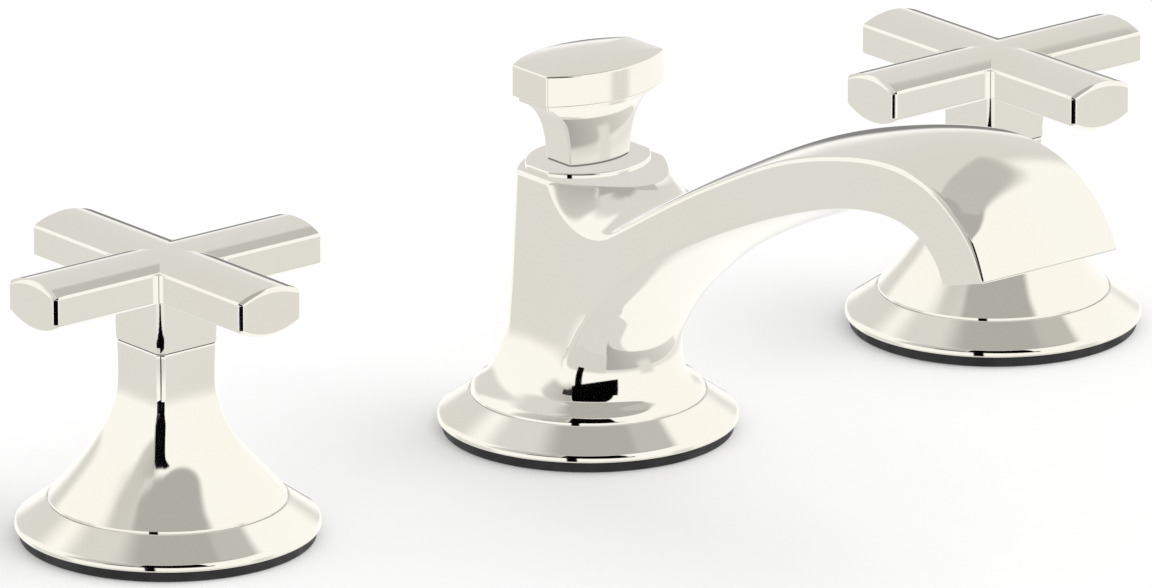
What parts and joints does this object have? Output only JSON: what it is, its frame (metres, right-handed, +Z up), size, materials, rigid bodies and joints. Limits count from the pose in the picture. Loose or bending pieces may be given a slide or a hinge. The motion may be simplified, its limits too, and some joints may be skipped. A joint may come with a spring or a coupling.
{
  "type": "widespread bathroom faucet",
  "caption": "Widespread basin faucet with an arched spout, a pull-up drain knob and cross handles on flared bells, with its valves and fastenings below the deck.",
  "frame": {"origin": "on the upright axis of the spout, at the deck's top face, below the spout's gasket", "axes": "+Z up, -Y towards the front where the spout reaches, +X towards the cold handle"},
  "size_m": [0.2666, 0.1668, 0.1476],
  "materials": {
    "polished_nickel": "polished nickel plate, warm and mirror-bright",
    "brass": "machined brass, unplated",
    "steel": "bright drawn or zinc-plated steel",
    "black_rubber": "matt black rubber",
    "ceramic": "polished white ceramic",
    "white_plastic": "moulded acetal, off-white"
  },
  "bodies": {
    "root": {"spout_body": "polished_nickel", "rod_bush": "white_plastic", "rod_seal": "black_rubber", "spout_shank": "brass", "spout_inlet_tube": "brass", "aerator_housing": "white_plastic", "aerator_screen": "white_plastic", "aerator_seal": "black_rubber", "spout_gasket": "black_rubber", "spout_base_ring": "polished_nickel", "spout_rubber_washer": "black_rubber", "spout_metal_washer": "steel", "spout_lock_nut": "brass", "hot_gasket": "black_rubber", "hot_base_ring": "polished_nickel", "hot_rubber_washer": "black_rubber", "hot_metal_washer": "steel", "hot_lock_nut": "brass", "cold_gasket": "black_rubber", "cold_base_ring": "polished_nickel", "cold_rubber_washer": "black_rubber", "cold_metal_washer": "steel", "cold_lock_nut": "brass", "hot_bell": "polished_nickel", "hot_glide_ring": "white_plastic", "hot_fixed_disc": "ceramic", "hot_seat_seal": "black_rubber", "hot_cartridge": "brass", "hot_stem_seal": "black_rubber", "hot_valve_body": "brass", "hot_inlet_nipple": "brass", "cold_bell": "polished_nickel", "cold_glide_ring": "white_plastic", "cold_fixed_disc": "ceramic", "cold_seat_seal": "black_rubber", "cold_cartridge": "brass", "cold_stem_seal": "black_rubber", "cold_valve_body": "brass", "cold_inlet_nipple": "brass"},
    "hot_handle": {"hot_cross_handle": "polished_nickel", "hot_stem_adapter": "brass", "hot_set_screw": "steel", "hot_stem": "brass", "hot_moving_disc": "ceramic"},
    "cold_handle": {"cold_cross_handle": "polished_nickel", "cold_stem_adapter": "brass", "cold_set_screw": "steel", "cold_stem": "brass", "cold_moving_disc": "ceramic"},
    "lift_rod_and_knob": {"lift_rod": "steel", "lift_knob": "polished_nickel"}
  },
  "joints": [
    {"name": "hot_handle_turn", "type": "hinge", "parent": "root", "child": "hot_handle", "pos_m": [-0.1016, 0, 0.05], "axis": [0, 0, 1], "range_deg": [0, 90]},
    {"name": "cold_handle_turn", "type": "hinge", "parent": "root", "child": "cold_handle", "pos_m": [0.1016, 0, 0.05], "axis": [0, 0, 1], "range_deg": [-90, 0]},
    {"name": "lift_rod_pull", "type": "slide", "parent": "root", "child": "lift_rod_and_knob", "axis": [0, 0, 1], "range_m": [0, 0.02]}
  ]
}
